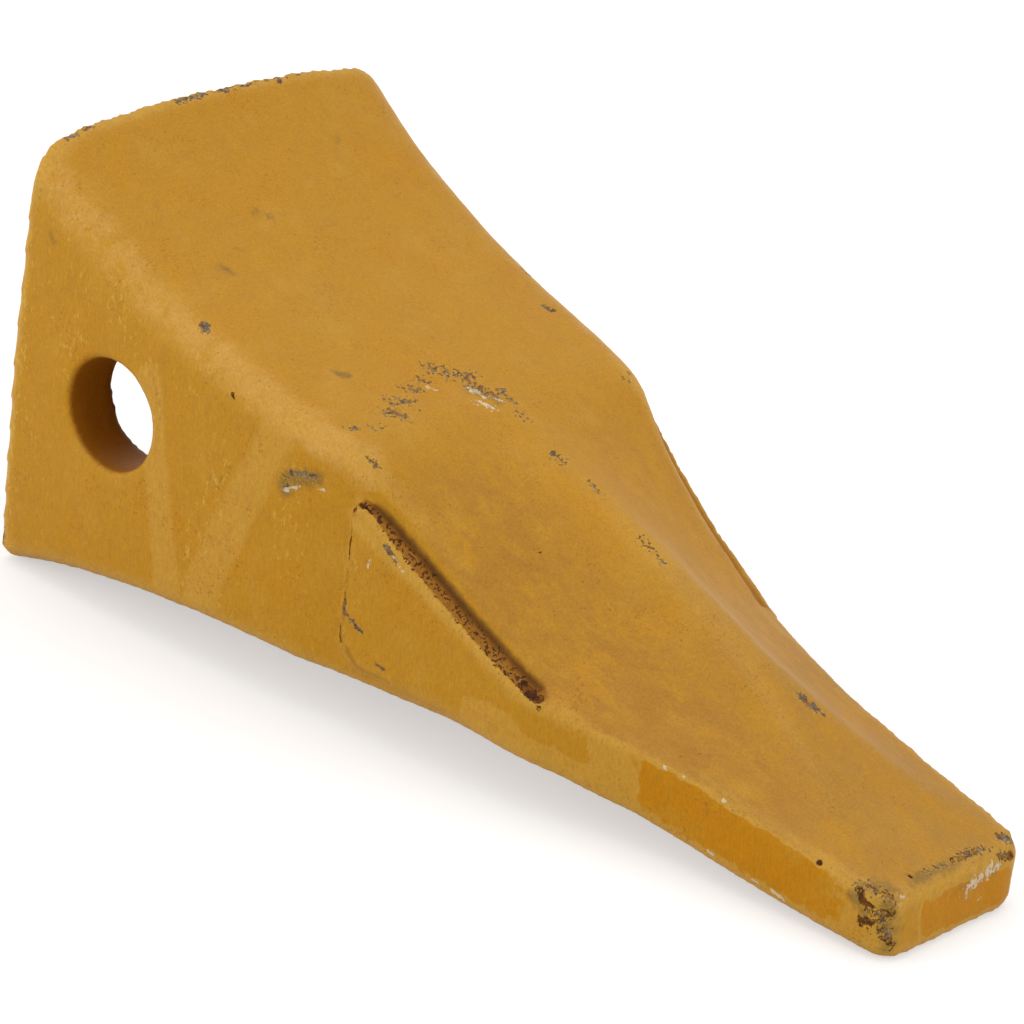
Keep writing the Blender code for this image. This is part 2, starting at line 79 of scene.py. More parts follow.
# Where the paint is gone and dark primer and steel show: (start, end, radius, strength).
# A strength of 1 clears the whole spot, and one near 0.6 leaves scattered specks.
# Every mark but the laps is moved to the nearest point of the casting.
BARE_MARKS = (
    # along the rim over the mouth
    ((4, -31.8, 74.5), (4, -30.2, 74.8), 0.9, 0.9),
    ((4, -28, 75), (4, -26.5, 75.2), 0.6, 0.85),
    ((3.5, -13, 76), (3.5, -12, 76), 0.5, 0.75),
    ((4.2, -8.5, 76.4), (4.2, -3, 76.7), 1.1, 0.72),
    ((3.9, 0, 76.8), (3.9, 3, 76.8), 1.2, 0.78),
    ((4.2, 5.5, 76.4), (4.2, 7, 76.4), 0.7, 0.75),
    ((4.8, 13, 75.8), (4.8, 13.5, 75.8), 0.5, 0.75),
    ((1, -38.2, 66), (1, -38.2, 62), 0.7, 0.82),
    ((1, -38, 6), (1, -38, 4), 0.8, 0.72),
    ((0.5, 0, 76.5), (0.5, 20, 76), 2.0, 0.58),
    # on the top and the near side of the box
    ((40, -32.9, 55.6), (40.4, -32.7, 54.6), 0.9, 0.85),
    ((63.2, -33.7, 39.7), (67.6, -33.4, 40.6), 1.2, 0.6),
    ((62.8, -33.8, 39.4), (62.2, -33.9, 37), 1.2, 0.58),
    ((56, 27.5, 51), (57, 28, 51), 0.9, 0.8),
    # where the spine begins
    ((64.8, -12.6, 50), (66.2, -10.8, 49.6), 1.5, 0.62),
    ((64.2, -9.6, 50), (65, -8, 49.8), 1.4, 0.54),
    ((68.3, -19.6, 48.8), (70.2, -17.8, 48.4), 1.8, 0.6),
    ((70.4, -24.6, 48.2), (71, -23.2, 48), 1.2, 0.6),
    ((68.6, -28.4, 48), (69.4, -27.2, 48.4), 1.3, 0.54),
    ((66.5, -17, 49.3), (68, -14.5, 49.2), 2.2, 0.54),
    ((62.5, -5, 50.6), (67, -0.5, 49.5), 2.6, 0.57),
    ((68.5, -2, 49.2), (72, 0.5, 48.4), 1.6, 0.62),
    ((71.5, 2, 48.4), (74, 2.4, 47.8), 1.7, 0.6),
    ((76.8, 1.4, 47), (78.6, 1, 46.4), 1.3, 0.58),
    ((75.4, -29.6, 45.6), (76.4, -29.4, 45), 0.9, 0.62),
    ((86.5, -0.8, 44), (88, -0.6, 43.6), 1.6, 0.55),
    ((94, 0.4, 42), (96, 0.2, 41), 1.2, 0.55),
    ((106, -0.6, 37.6), (111, -0.8, 35.6), 1.3, 0.54),
    # on the blade
    ((139.4, 1.6, 24.2), (141.6, 2.2, 23.2), 1.1, 0.8),
    ((142, 2.6, 23), (143, 3, 22.6), 0.7, 0.7),
    ((167.8, -15.6, 11.4), (171, -14.6, 11.2), 1.6, 0.56),
    ((171.6, -15.6, 8), (173, -14.2, 6), 2.0, 0.5),
    ((172.4, -14.8, 11), (173.4, -13.7, 10), 1.6, 0.55),
    ((172.8, -14.6, 5.4), (173.4, -13.6, 3.6), 1.5, 0.52),
    ((171, 13, 11.6), (171.8, 15.2, 11), 1.3, 0.8),
    ((173.3, 10.5, 9.8), (173.3, 12.5, 9.4), 0.9, 0.72),
    ((171, 3, 11.6), (171.4, 9.5, 11.2), 1.5, 0.56),
    ((171, -4.6, 11.4), (171.2, -1, 11.4), 1.6, 0.5),
    # on the pad
    ((82.4, -31.4, 34.3), (84.2, -31.2, 32.4), 0.6, 0.85),
    ((75.2, -32.2, 22.8), (75.2, -32.1, 20.4), 0.6, 0.68),
    ((75.2, -32.1, 20.4), (78.7, -31.6, 18.3), 0.6, 0.68),
    ((82, -31.2, 14.2), (83.6, -31, 13.6), 0.6, 0.6),
)
# Rust spots, and rust that runs along cracks and chipped edges
RUST_MARKS = (
    ((160.6, -17.4, 12.6), (161, -17.4, 11.8), 0.6, 1.0),
    ((170.6, -7.8, 11.1), (170.8, -7.8, 11.1), 0.35, 1.0),
    ((74.9, -32.3, 33.4), (74.8, -32.2, 29.4), 0.55, 0.86),
    ((75.6, -32, 37.8), (77.4, -32, 39.6), 0.55, 0.8),
    ((74.9, -32.3, 23.6), (74.9, -32.1, 21.6), 0.35, 0.9),
    ((74.2, -31.8, 17.6), (74.9, -32.1, 15.2), 0.5, 0.78),
    ((109, -26.6, 21), (111.6, -26.4, 19.6), 1.0, 1.0),
    ((168.2, -16.4, 10.6), (170, -16.2, 8.6), 1.2, 0.72),
    ((169.2, -16.2, 5.6), (171.8, -15.4, 6.6), 1.7, 0.64),
    ((170.6, -16, 8.6), (173, -14.4, 8.2), 1.8, 0.6),
    ((172.4, -15, 5.2), (173.4, -13.4, 3), 1.7, 0.62),
    ((170.8, -14.8, 11.2), (172.6, -13.4, 10.8), 1.4, 0.58),
    ((171.2, 1, 11.2), (171.4, 4, 11.2), 1.0, 0.58),
    ((110.4, -25.4, 20.4), (112.2, -26.2, 18.6), 0.8, 0.7),
    ((173.3, 11, 9.2), (173.3, 13.6, 8.8), 0.9, 0.72),
    ((171.2, 4.6, 11.2), (171.4, 6.6, 11.2), 0.9, 0.62),
    ((50, -34.6, 48), (50.3, -34.6, 47.4), 0.4, 0.8),
    ((97, -14, 36), (98, -14, 36), 0.7, 0.55),
)
# Pale scuffs and flakes
WHITE_MARKS = (
    ((69, -2.2, 49.2), (71.5, -1.6, 48.6), 1.0, 0.6),
    ((71.5, -1.6, 48.6), (73.5, 0.6, 48), 0.9, 0.56),
    ((143.6, -19.4, 15), (144.6, -19.2, 14.8), 0.5, 1.0),
    ((132.7, -20.8, 16.2), (133.2, -20.7, 15.9), 0.4, 0.9),
    ((136, -20.2, 15.8), (136.3, -20.2, 15.6), 0.3, 0.95),
    ((142, -19, 5.4), (142.6, -19, 5.2), 0.4, 0.85),
    ((153.6, -17.8, 3.8), (155.6, -17.5, 3.1), 0.5, 0.85),
    ((150, -18, 4.2), (151, -18, 4), 0.35, 0.85),
    ((173.6, 2.6, 6.8), (173.6, 5.4, 7.8), 1.8, 0.62),
    ((173.6, 5.4, 7.8), (173.6, 9.2, 8.5), 1.6, 0.66),
    ((173.6, 5.5, 4), (173.6, 6.5, 4.4), 0.5, 0.62),
    ((173.4, -12.8, 9.6), (173.2, -12, 10.4), 0.9, 0.58),
    ((83.9, -31.2, 33), (85.6, -31, 31.4), 0.5, 0.64),
    ((79.5, -31.6, 31), (79.1, -31.7, 29.6), 0.3, 0.66),
    ((62.2, -33.9, 36.6), (64.8, -33.6, 37.8), 0.6, 0.62),
    ((68.4, -33.3, 38.6), (69.4, -33.2, 39), 0.5, 0.62),
    ((72, -3.6, 48.4), (74.5, -2.4, 47.8), 1.2, 0.6),
    ((66, -9, 49.4), (67.4, -8, 49.3), 0.7, 0.6),
)
# Soft stains of olive grey dirt on the paint
STAIN_MARKS = (
    ((23, -8, 62), (25, -6.4, 62), 1.3, 0.6),
    ((29, -17, 60.9), (30, -16, 60.9), 1.0, 0.5),
    ((31, -22, 58), (32.4, -21, 58), 1.3, 0.6),
    ((57.6, -20.7, 51.4), (58.9, -19.5, 51.4), 0.9, 0.9),
    ((5, -37.8, 67), (5.6, -37.9, 66), 1.0, 0.56),
    ((9, -37.9, 61), (10, -37.9, 59.6), 1.1, 0.6),
    ((14.8, 18, 68.6), (16, 17, 68), 1.2, 0.5),
    ((167.6, -16.4, 9.4), (169.4, -16.2, 7.6), 1.1, 0.8),
    ((168.6, -15.4, 11.4), (171.2, -13, 11.2), 1.7, 0.7),
    ((171.4, -8, 11.2), (171.6, 1, 11.2), 1.3, 0.7),
    ((172.6, -15, 9.6), (173.4, -14, 3.6), 2.2, 0.75),
    ((173.6, 1.4, 7.6), (173.6, 9.6, 8.4), 2.0, 0.5),
    ((62.6, -33.8, 38.6), (68, -33.4, 40.4), 1.4, 0.95),
    ((62.6, -33.8, 38.6), (62.2, -33.9, 36.6), 1.3, 0.9),
    ((69.5, -2, 49), (73, 0, 48.2), 1.6, 0.7),
    ((68.6, -19, 48.8), (70, -18, 48.4), 1.4, 0.6),
)
# Crisp laps of paler paint along the foot of the sides
LAP_MARKS = (
    ((101, -28.5, 12.6), (107, -27.7, 12.2), 4.6, 0.9),
    ((110, -27, 10), (119, -24.5, 9), 4.4, 0.9),
    ((124, -23.4, 14.6), (126.6, -21.6, 9), 4.2, 1.0),
    ((88, -29, 8.6), (129, -21, 5), 2.0, 1.0),
)
# Lines that the mesh and the paint follow on the near side; the far side has them mirrored
LEDGE_EDGE = (
    (76.5, -32.0, 39.4), (79.5, -31.9, 38.2), (85.3, -31.0, 34.0), (97.1, -29.4, 26.9),
    (111.2, -27.3, 19.7),
)
LEDGE_ROOT = (
    (78.2, -30.4, 38.7), (79.5, -29.8, 38.2), (85.3, -28.1, 34.0), (97.1, -26.4, 26.9),
    (110.8, -24.5, 19.9),
)
PAD_REAR = (
    (76.5, -32.0, 39.4), (75.2, -32.4, 36.5), (75.0, -32.2, 16.0), (78.5, -31.5, 11.9),
    (84.5, -30.6, 11.7),
)
# the box's near ridge, along which a highlight is painted
RIDGE = (
    (3.8, -38.2, 74.3), (10.6, -37.9, 69.4), (34.2, -36.8, 57.4), (57.9, -34.6, 50.3),
    (75.8, -31.4, 45.4),
)
PAD_STRETCH = (70, 114)  # where the pads lie along the tooth
BORE_AXIS = (24.7, 35.1)  # along and up
BORE_RADIUS = 9.25
BORE_ENDS = 31  # the bores open further out than this from the middle plane
SOCKET_END = 84  # the socket's bottom lies behind this
SOCKET_MIDDLE = 30  # height of the socket's middle

# The far side has the near side's marks too, moved along and up by this so that the two don't match,
# but not those by the mouth and those that start among the pad's cracks
FAR_SHIFT = (6, -2.5)
SIDE_START = 25  # a mark further out than this from the middle plane lies on a side
MOUTH_END = 20
CRACKED_STRETCH = (72, 80)
FAR_RUST = 0.45  # wear along the far pad as a share of the near pad's

# How near to a line or a mark the mesh is finer and is drawn back to the casting
LEDGE_BAND = 3.2  # the spacing is halved this near to a ledge
CRISP_BAND = 1.6  # and this near to a pad's rear edge or a bore's rim
CRISP_FADE = 3.0  # from CRISP_BAND to here the points are drawn back less and less
CRISP_SHARE = 0.85  # how far they are drawn back within CRISP_BAND
LEAST_SHARE = 0.02  # points that would be drawn back less than this stay
OUT_OF_REACH = 9  # a distance at which no line has an effect
TINY_MARK = 0.7  # near marks of a smaller radius the spacing is halved once more

EDGE_ROUNDS = 16  # rounds of smoothing that show which points stand out
WELD_DISTANCE = 0.01 * MM
SEED_STEPS = (7.31, 3.17, 5.53)  # how far apart the noises of two seeds lie

# Broad streaks of paler paint that ran down the sides, as (top, bottom, half-width)
PAINT_RUNS = (
    ((33, 44), (39, 13), 2.6),
    ((60, 46), (47, 14), 3.4),
)
# Flats with deeper paint: the blade's sides from low to high edge, as (along, up), and the tip's face
WARM_STRETCH = (129, 165)
WARM_LOW = ((129, 7.4), (146, 4.8), (160, 3.3))
WARM_HIGH = ((125, 16.7), (138, 15.0), (150, 13.1), (165, 11.1))
WARM_TIP = ((-7.9, 13.6), (1.9, 8.2))  # across, and up
WARM_FADE = 8  # distance over which the field of the deeper paint goes from 0 to 1
FACING = 0.75  # a normal's part along an axis, over which the skin faces that way
# Stretches along the tooth over which dust and flecks come or go
DUST_STARTS, DUST_ENDS = (72, 90), (140, 165)
VEIL_GROWS = (95, 135)
FLECKS_END, MOUTH_FLECKS_END = (70, 90), (1, 7)
# The patches that marks give, as (field, size of the spots, how far the noise tears them)
PATCHES = (("bare", 0.7 * MM, 0.8), ("rusty", 0.8 * MM, 0.5), ("white", 0.8 * MM, 0.7))
CHIP_SINK = 0.12 * MM  # depths that only the bump shows
PIT_SINK = 0.2 * MM
PAINT_SPECULAR = 0.14
FLOOR_GLOW = 0.5  # lifts the floor to white for the camera
WHITE = (1, 1, 1, 1)
# Lamps, as (name, place from the tooth's middle, size, name of the power), in metres
LAMPS = (
    ("top_lamp", (-0.1, 0.1, 0.9), 0.9, "top_power"),
    ("side_lamp", (-0.5, -0.8, 0.25), 0.6, "side_power"),
    ("front_lamp", (0.9, 0.1, 0.35), 0.6, "front_power"),
)
SENSOR_MM = 36


class CastingSizes(bpy.types.PropertyGroup):
    """Sizes of the cast skin."""

    mesh_spacing: FloatProperty(
        name="Mesh spacing", description="Distance between the points of the casting's fine mesh",
        default=1.0 * MM, min=0.3 * MM, precision=5, unit="LENGTH",
    )
    softening: IntProperty(
        name="Softening", description="Rounds of smoothing that soften the cast edges", default=8, min=0,
    )
    wave_length: FloatProperty(
        name="Wave length", description="Distance between the broad waves that the mould leaves",
        default=19 * MM, precision=5, unit="LENGTH",
    )
    wave_height: FloatProperty(
        name="Wave height", description="Height of the broad waves", default=0.2 * MM, precision=5,
        unit="LENGTH",
    )
    dent_length: FloatProperty(
        name="Dent length", description="Distance between the small dents of the cast skin",
        default=4.2 * MM, precision=5, unit="LENGTH",
    )
    dent_height: FloatProperty(
        name="Dent height", description="Depth of the small dents", default=0.09 * MM, precision=5,
        unit="LENGTH",
    )
    chip_depth: FloatProperty(
        name="Chip depth", description="Depth of the chips in the edges", default=0.22 * MM, precision=5,
        unit="LENGTH",
    )
    rust_depth: FloatProperty(
        name="Rust depth", description="Depth of the pits in the rusty ledges", default=0.4 * MM,
        precision=5, unit="LENGTH",
    )


class PaintColours(bpy.types.PropertyGroup):
    """Colours and gloss of the paint and of what shows through it, and of the painted highlights and shade.
    """

    paint: FloatVectorProperty(
        name="Paint", description="Ochre paint", default=(0.515, 0.24, 0.011), size=3, subtype="COLOR",
    )
    # paler paint, also laid on the convex edges as a painted highlight
    thick_paint_and_highlight: FloatVectorProperty(
        name="Thick paint", description="Paler paint where it is thick, on edges and in runs",
        default=(0.59, 0.315, 0.045), size=3, subtype="COLOR",
    )
    warm_paint: FloatVectorProperty(
        name="Warm paint", description="Deeper paint on the flats of the blade's sides and tip",
        default=(0.53, 0.212, 0.0), size=3, subtype="COLOR",
    )
    # painted highlight along the box's ridges, on paler rubbed paint
    ridge: FloatVectorProperty(
        name="Ridge", description="Rubbed, paler paint on the ridges of the box", default=(0.63, 0.33, 0.085),
        size=3, subtype="COLOR",
    )
    fleck: FloatVectorProperty(
        name="Fleck", description="Small pale flecks on the sides", default=(0.63, 0.375, 0.05), size=3,
        subtype="COLOR",
    )
    bore: FloatVectorProperty(
        name="Bore", description="Stained paint in the pin bores", default=(0.3, 0.095, 0.004), size=3,
        subtype="COLOR",
    )
    dust: FloatVectorProperty(
        name="Dust", description="Brown dust on the flank", default=(0.4, 0.18, 0.024), size=3,
        subtype="COLOR",
    )
    # dark colour laid as painted shade in the corners, as a painted shadow along the ledges' roots and the
    # pads' rear steps, and as grime in the socket
    shade_and_grime: FloatVectorProperty(
        name="Grime", description="Dirt in the corners", default=(0.085, 0.028, 0.001), size=3,
        subtype="COLOR",
    )
    veil: FloatVectorProperty(
        name="Veil", description="Thin greyish dust on faces that look up", default=(0.36, 0.19, 0.045),
        size=3, subtype="COLOR",
    )
    stain: FloatVectorProperty(
        name="Stain", description="Soft olive grey stains", default=(0.12, 0.09, 0.03), size=3,
        subtype="COLOR",
    )
    speck: FloatVectorProperty(
        name="Speck", description="Small brown spots in the paint", default=(0.3, 0.115, 0.01), size=3,
        subtype="COLOR",
    )
    rust: FloatVectorProperty(
        name="Rust", description="Rust in pits and on the ledges", default=(0.25, 0.084, 0.004), size=3,
        subtype="COLOR",
    )
    dark_rust: FloatVectorProperty(
        name="Dark rust", description="Rust at the bottom of the pits", default=(0.055, 0.015, 0.008),
        size=3, subtype="COLOR",
    )
    primer: FloatVectorProperty(
        name="Primer", description="Dark primer under the paint", default=(0.05, 0.046, 0.052), size=3,
        subtype="COLOR",
    )
    steel: FloatVectorProperty(
        name="Steel", description="Dull steel under the primer", default=(0.27, 0.215, 0.15), size=3,
        subtype="COLOR",
    )
    scuff: FloatVectorProperty(
        name="Scuff", description="Pale scuffs and flakes", default=(0.68, 0.58, 0.42), size=3,
        subtype="COLOR",
    )
    roughness: FloatProperty(
        name="Roughness", description="Roughness of the clean paint", default=0.5, min=0, max=1,
    )


class StageSetup(bpy.types.PropertyGroup):
    """Floor, lamps and camera."""

    floor_size: FloatProperty(name="Floor size", description="Side of the floor", default=6.0, unit="LENGTH")
    floor_tone: FloatVectorProperty(
        name="Floor tone", description="Colour of the floor", default=(0.62, 0.62, 0.62), size=3,
        subtype="COLOR",
    )
    sky_level: FloatProperty(name="Sky level", description="Light from all round", default=0.64)
    top_power: FloatProperty(name="Top power", description="Lamp over the tooth", default=2.8, unit="POWER")
    side_power: FloatProperty(
        name="Side power", description="Lamp in front of the near side", default=3.0, unit="POWER",
    )
    front_power: FloatProperty(
        name="Front power", description="Lamp in front of the tip", default=1.6, unit="POWER",
    )
    lens_mm: FloatProperty(name="Lens", description="Focal length on a 36 mm sensor", default=158.0)
    camera_place: FloatVectorProperty(
        name="Camera place", description="Where the camera stands", default=(0.4177, -0.47666, 0.32485),
        size=3, subtype="TRANSLATION",
    )
    camera_turn: FloatVectorProperty(
        name="Camera turn", description="Turn of the camera about X, Y and Z",
        default=[math.radians(a) for a in (65.13, -6.068, 44.606)], size=3, subtype="EULER",
    )


# Mesh


def welded(node):
    """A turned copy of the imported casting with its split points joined."""
    shape = bmesh.new()
    shape.from_mesh(node.data)
    bmesh.ops.remove_doubles(shape, verts=shape.verts, dist=WELD_DISTANCE)
    mesh = bpy.data.meshes.new("casting")
    shape.to_mesh(mesh)
    shape.free()
    mesh.transform(GRID_TURN)
    return mesh


def drop_bubbles(mesh):
    """Takes out the tiny closed bubbles that the even mesh can leave inside the metal."""
    shape = bmesh.new()
    shape.from_mesh(mesh)
    unseen, pieces = set(shape.verts), []
    while unseen:
        piece, border = set(), {unseen.pop()}
        while border:
            piece |= border
            border = {edge.other_vert(vert) for vert in border for edge in vert.link_edges} - piece
        unseen -= piece
        pieces.append(piece)
    pieces.sort(key=len)
    bmesh.ops.delete(shape, geom=[vert for piece in pieces[:-1] for vert in piece], context="VERTS")
    shape.to_mesh(mesh)
    shape.free()


def fine_skin(node, sizes):
    """An evenly meshed copy of the casting with softened edges."""
    piece = bpy.data.objects.new("painted_tooth", welded(node))
    bpy.context.scene.collection.objects.link(piece)
    even = piece.modifiers.new("even_mesh", "REMESH")
    even.mode = "VOXEL"
    even.voxel_size = sizes.mesh_spacing
    soften = piece.modifiers.new("soft_edges", "SMOOTH")
    soften.factor = 0.5
    soften.iterations = sizes.softening
    evaluated = piece.evaluated_get(bpy.context.evaluated_depsgraph_get())
    mesh = bpy.data.meshes.new_from_object(evaluated)
    mesh.transform(GRID_TURN.inverted())
    drop_bubbles(mesh)
    piece.modifiers.clear()
    piece.data = mesh
    mesh.name = piece.name
    mesh.shade_smooth()
    return piece


def read(collection, name, width, kind=np.float32):
    """One property of each item as an array."""
    flat = np.zeros(len(collection) * width, kind)
    collection.foreach_get(name, flat)
    return flat.reshape(-1, width)


def neighbour_mean(values, edges):
    """The mean of each point's neighbours."""
    first, second = edges[:, 0], edges[:, 1]
    count = np.bincount(edges.ravel(), minlength=len(values))
    columns = [
        np.bincount(first, column[second], len(values)) + np.bincount(second, column[first], len(values))
        for column in values.T
    ]
    return np.stack(columns, 1) / count[:, None]


def standing_out(points, normals, edges, rounds):
    """How far each point stands out of a smoothed skin: positive on edges, negative in corners."""
    even = points
    for _ in range(rounds):
        even = (even + neighbour_mean(even, edges)) / 2
    return ((points - even) * normals).sum(1)


def ripple(points, length, seed):
    """Soft noise from about -1 to 1 whose bumps are length apart."""
    start = Vector([seed * step for step in SEED_STEPS])
    return np.array([noise.noise(Vector(point) + start) for point in points / length])


def rough(points, length, seed):
    """Noise with ripples of half its length and height on it."""
    return ripple(points, length, seed) + ripple(points, length / 2, seed + 1) / 2


def ramp(low, high, values):
    """0 under low, 1 over high, and soft between them."""
    t = np.clip((values - low) / (high - low), 0, 1)
    return t * t * (3 - 2 * t)


def segment_distance(points, start, end):
    """Distance from each point to the line between start and end."""
    start, end = np.array(start, float), np.array(end, float)
    along = end - start
    share = np.clip(((points - start) @ along) / max(along @ along, 1e-9), 0, 1)
    return np.linalg.norm(points - start - share[:, None] * along, axis=1)


def line_distance(places, line):
    """Distance from each place, folded to the near side, to a line through several places."""
    folded = places * [1, -1, 1]
    folded[:, 1] = -np.abs(places[:, 1])
    return np.minimum.reduce([segment_distance(folded, *ends) for ends in zip(line, line[1:])])


def marked(places, marks):
    """Strength of the marks at each place, 1 in the middle of a full mark and half of it at its radius."""
    field = np.zeros(len(places))
    for start, end, radius, strength in marks:
        distance = segment_distance(places, start, end)
        field = np.maximum(field, strength * np.clip(1 - distance / (2 * radius), 0, 1))
    return field


def repeated(start):
    """Whether a mark that starts here is on the near side and comes again on the far side."""
    on_side = start[1] < -SIDE_START and start[0] > MOUTH_END
    return on_side and not CRACKED_STRETCH[0] < start[0] < CRACKED_STRETCH[1]


def both_sides(marks):
    """The marks, and most of those of the near side once more on the far side."""
    far = [
        tuple((x + FAR_SHIFT[0], -y, z + FAR_SHIFT[1]) for x, y, z in (start, end)) + (radius, strength)
        for start, end, radius, strength in marks if repeated(start)
    ]
    return list(marks) + far


def in_mm(points):
    """The places on the tooth, in millimetres from its rear, of points in the scene."""
    return (points - np.array([CAD_BOX[0].x, 0, 0])) / MM


def seated(marks, tree):
    """The marks with their ends moved to the nearest points of the casting."""
    rear = Vector((CAD_BOX[0].x, 0, 0))
    moved = []
    for start, end, radius, strength in marks:
        ends = [(tree.find_nearest(Vector(place) * MM + rear)[0] - rear) / MM for place in (start, end)]
        moved.append((*ends, radius, strength))
    return moved


def divide_near(mesh, wanted):
    """Halves the mesh spacing at the places that wanted picks."""
    shape = bmesh.new()
    shape.from_mesh(mesh)
    picked = wanted(in_mm(np.array([face.calc_center_median() for face in shape.faces])))
    edges = {edge for face, pick in zip(shape.faces, picked) if pick for edge in face.edges}
    bmesh.ops.subdivide_edges(shape, edges=list(edges), cuts=1, use_grid_fill=True)
    shape.to_mesh(mesh)
    shape.free()


def bore_distance(places):
    """Distance from each place to the axis of the pin bores."""
    return np.hypot(places[:, 0] - BORE_AXIS[0], places[:, 2] - BORE_AXIS[1])


def bore_rim_distance(places):
    """Distance from each place to the wall of the pin bores, only near their outer ends."""
    off = np.abs(bore_distance(places) - BORE_RADIUS)
    return np.where(np.abs(places[:, 1]) > BORE_ENDS, off, OUT_OF_REACH)


def near_line(places):
    """Whether each place is near a ledge, a pad's rear edge or a bore's rim."""
    ledge = line_distance(places, LEDGE_EDGE) < LEDGE_BAND
    pad_shadow = line_distance(places, PAD_REAR) < CRISP_BAND
    return ledge | pad_shadow | (bore_rim_distance(places) < CRISP_BAND)


def held(points, places, tree):
    """The points near the pads and the bores drawn back to the casting, so that their edges stay crisp."""
    lines = [line_distance(places, line) for line in (LEDGE_EDGE, LEDGE_ROOT, PAD_REAR)]
    near = np.minimum.reduce([*lines, bore_rim_distance(places)])
    share = CRISP_SHARE * (1 - ramp(CRISP_BAND, CRISP_FADE, near))
    firm = points.copy()
    for i in np.flatnonzero(share > LEAST_SHARE):
        nearest = np.array(tree.find_nearest(Vector(points[i]))[0])
        firm[i] += (nearest - points[i]) * share[i]
    return firm


def warm_field(places, normals):
    """Over 0.5 on the flats of the blade's sides and of the tip, where the paint is deeper."""
    along, across, up = places.T
    wander = ripple(places, 3.4, seed=11) * 0.55
    fray = ripple(places, 7, seed=12) * 4
    rear, front = along - WARM_STRETCH[0] + 0.3 * wander, 0.15 * (WARM_STRETCH[1] - along + fray)
    foot = 0.4 * (up - np.interp(along, *zip(*WARM_LOW)) + wander)
    head = np.interp(along, *zip(*WARM_HIGH)) - up + wander
    side = rounded_box(rear, front, foot, head, 0.8)
    side = np.where(np.abs(normals[:, 1]) > FACING, side, -WARM_FADE / 2)
    (left, right), (low, high) = WARM_TIP
    tip = rounded_box(across - left, right - across, up - low + wander, high - up + 2 * wander, 2.2)
    tip = np.where(normals[:, 0] > FACING, tip, -WARM_FADE / 2)
    return np.clip(0.5 + np.maximum(side, tip) / WARM_FADE, 0, 1)


def rounded_box(rear, front, low, high, corner):
    """How deep a place lies in a box with rounded corners, from its depths behind the four edges."""
    sideways, upright = np.minimum(rear, front), np.minimum(low, high)
    outside = np.hypot(np.maximum(corner - sideways, 0), np.maximum(corner - upright, 0))
    inside = np.minimum(np.minimum(sideways, upright) - corner, 0)
    return np.where((sideways < corner) & (upright < corner), corner - outside, inside + corner)


def run_field(places, normals):
    """1 in the middle of the broad runs of paint on the sides."""
    along, _, up = places.T
    field = np.zeros(len(places))
    for top, bottom, half_width in PAINT_RUNS:
        share = np.clip((top[1] - up) / (top[1] - bottom[1]), 0, 1)
        middle = top[0] + share * (bottom[0] - top[0])
        inside = np.clip(1 - np.abs(along - middle) / (2 * half_width), 0, 1)
        ends = ramp(bottom[1] - 12, bottom[1] - 4, up) * ramp(0, 6, top[1] + 6 - up)
        field = np.maximum(field, inside * ends)
    return field * ramp(0.75, 0.9, np.abs(normals[:, 1]))


def dust_field(places, normals):
    """1 in the middle of the dusty zone on the flank and the blade."""
    along, across, _ = places.T
    zone = ramp(*DUST_STARTS, along) * (1 - ramp(*DUST_ENDS, along))
    off_spine = ramp(3, 12, -across) + 0.4 * ramp(3, 12, across)
    return zone * off_spine * ramp(0.3, 0.7, normals[:, 2])


def veil_field(places, normals):
    """How thick the greyish dust lies on what looks up: most on the blade, a little on the box."""
    return (0.3 + 0.7 * ramp(*VEIL_GROWS, places[:, 0])) * ramp(0.4, 0.85, normals[:, 2])


def fleck_field(places, normals):
    """How thick the pale flecks lie: most by the mouth, fewer along the sides, least on the top."""
    along, _, up = places.T
    side = ramp(0.6, 0.9, np.abs(normals[:, 1]))
    mouth = 1 - ramp(*MOUTH_FLECKS_END, along)
    streaks = ramp(-0.1, 0.6, ripple(places * [1, 0, 0.35], 6.0, seed=21))
    rear = (1 - ramp(8, 34, along)) * ramp(36, 54, up)
    sides = side * (0.2 + 0.45 * streaks + 0.2 * rear) * (1 - ramp(*FLECKS_END, along))
    return np.clip(0.1 + sides + 0.6 * mouth, 0, 1)


def inside_field(places, normals):
    """1 on the walls of the socket, 0 on the outer skin."""
    along, across, up = places.T
    inwards = (SOCKET_MIDDLE - up) * normals[:, 2] - across * normals[:, 1]
    socket = (along < SOCKET_END) * ramp(0.5, 3, along)
    return ramp(0, 3, inwards) * socket * (1 - bore_field(places, normals))


def bore_field(places, normals):
    """1 on the walls of the pin bores."""
    wall = 1 - ramp(BORE_RADIUS + 0.1, BORE_RADIUS + 0.9, bore_distance(places))
    return wall * (1 - ramp(0.3, 0.8, np.abs(normals[:, 1])))


def line_fields(places, normals):
    """Fields that follow the ledges, the pads' edges and the ridges, 1 on the line and 0 at its reach."""
    middle = [tuple((a + b) / 2 for a, b in zip(*ends)) for ends in zip(LEDGE_EDGE, LEDGE_ROOT)]
    lines = {
        "ledge": (middle, 2.6), "root": (LEDGE_ROOT, 1.6), "brink": (LEDGE_EDGE, 1.7),
        "pad_rim": (LEDGE_EDGE + PAD_REAR[1:2], 3.2), "pad_seam": (PAD_REAR, 1.4), "ridge": (RIDGE, 7.0),
    }
    fields = {
        name: np.clip(1 - line_distance(places, line) / reach, 0, 1)
        for name, (line, reach) in lines.items()
    }
    by_pad = (places[:, 0] > PAD_STRETCH[0]) & (places[:, 0] < PAD_STRETCH[1])
    wear = by_pad * np.where(places[:, 1] > 0, FAR_RUST, 1.0)
    fields["ledge"] *= wear * ramp(0.35, 0.75, normals[:, 2])
    fields["root"] *= wear
    fields["brink"] *= wear * ramp(0.1, 0.5, normals[:, 2])
    fields["pad_rim"] *= ramp(0.75, 0.95, np.abs(normals[:, 1])) * (1 - fields["root"])
    return fields


